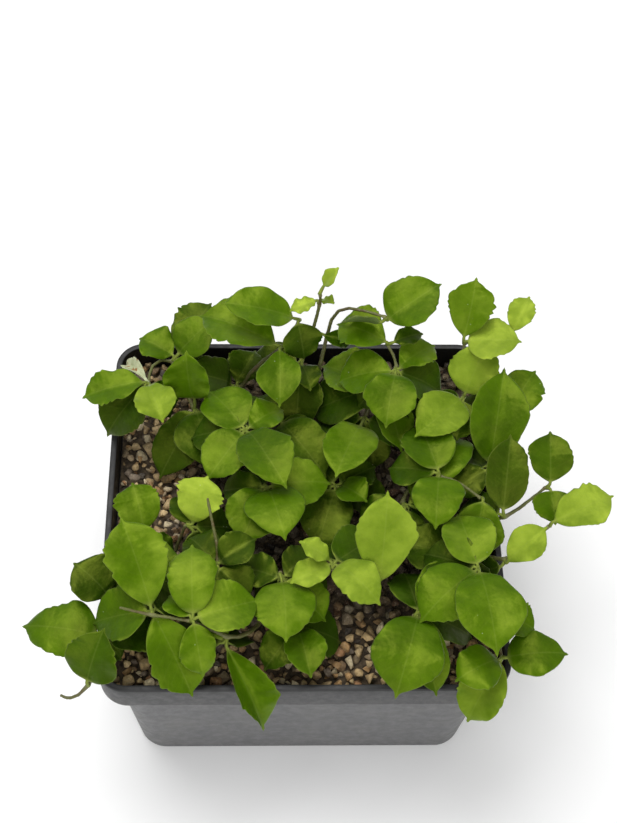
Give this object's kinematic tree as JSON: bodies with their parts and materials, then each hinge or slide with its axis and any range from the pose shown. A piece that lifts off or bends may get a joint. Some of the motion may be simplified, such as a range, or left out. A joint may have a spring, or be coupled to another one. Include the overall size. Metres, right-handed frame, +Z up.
{
  "type": "potted hoya",
  "caption": "Small-leaved hoya in a square grey plastic nursery pot, with short vines spreading over a layer of coarse gravel.",
  "frame": {"origin": "centre of the pot's underside, on the resting plane", "axes": "+Z up from the resting face; -Y is the front, the side where the stems trail over the rim at the left-hand corner"},
  "size_m": [0.1734, 0.1362, 0.1198],
  "materials": {
    "pot_plastic": "dull, faintly dirty grey-black",
    "gravel_stone": "dry, rough",
    "stem_bark": "dull green-brown",
    "leaf_deep": "waxy satin, dark green",
    "leaf_mature": "waxy satin, mid green",
    "leaf_young": "waxy satin, yellow-green"
  },
  "bodies": {
    "root": {"pot": "pot_plastic", "gravel": "gravel_stone", "stem_back": "stem_bark", "leaves_back_1": "leaf_deep", "leaves_back_2": "leaf_mature", "leaves_back_3": "leaf_young", "leaves_back_4": "leaf_young", "leaves_back_5": "leaf_mature", "leaves_back_6": "leaf_young", "leaves_back_7": "leaf_mature", "leaves_back_8": "leaf_mature", "stem_left_back": "stem_bark", "leaves_left_back_1": "leaf_mature", "leaves_left_back_2": "leaf_deep", "leaves_left_back_3": "leaf_mature", "leaves_left_back_4": "leaf_deep", "leaves_left_back_5": "leaf_mature", "leaves_left_back_6": "leaf_mature", "stem_right_back": "stem_bark", "leaves_right_back_1": "leaf_mature", "leaves_right_back_2": "leaf_mature", "leaves_right_back_3": "leaf_mature", "leaves_right_back_4": "leaf_mature", "leaves_right_back_5": "leaf_mature", "leaves_right_back_6": "leaf_young", "leaves_right_back_7": "leaf_mature", "leaves_right_back_8": "leaf_young", "stem_right": "stem_bark", "leaves_right_1": "leaf_mature", "leaves_right_2": "leaf_mature", "leaves_right_3": "leaf_deep", "leaves_right_4": "leaf_deep", "leaves_right_5": "leaf_young", "leaves_right_6": "leaf_young", "leaves_right_7": "leaf_deep", "leaves_right_8": "leaf_mature", "leaves_right_9": "leaf_mature", "stem_front_right": "stem_bark", "leaves_front_right_1": "leaf_deep", "leaves_front_right_2": "leaf_mature", "leaves_front_right_3": "leaf_mature", "leaves_front_right_4": "leaf_mature", "leaves_front_right_5": "leaf_mature", "stem_centre": "stem_bark", "leaves_centre_1": "leaf_young", "leaves_centre_2": "leaf_young", "leaves_centre_3": "leaf_deep", "stem_front_left": "stem_bark", "leaves_front_left_1": "leaf_mature", "leaves_front_left_2": "leaf_mature", "leaves_front_left_3": "leaf_mature", "leaves_front_left_4": "leaf_mature", "leaves_front_left_5": "leaf_mature", "stem_left": "stem_bark", "leaves_left_1": "leaf_deep", "leaves_left_2": "leaf_mature", "leaves_left_3": "leaf_deep", "leaves_left_4": "leaf_mature", "leaves_left_5": "leaf_young", "leaves_left_6": "leaf_deep"}
  },
  "joints": []
}
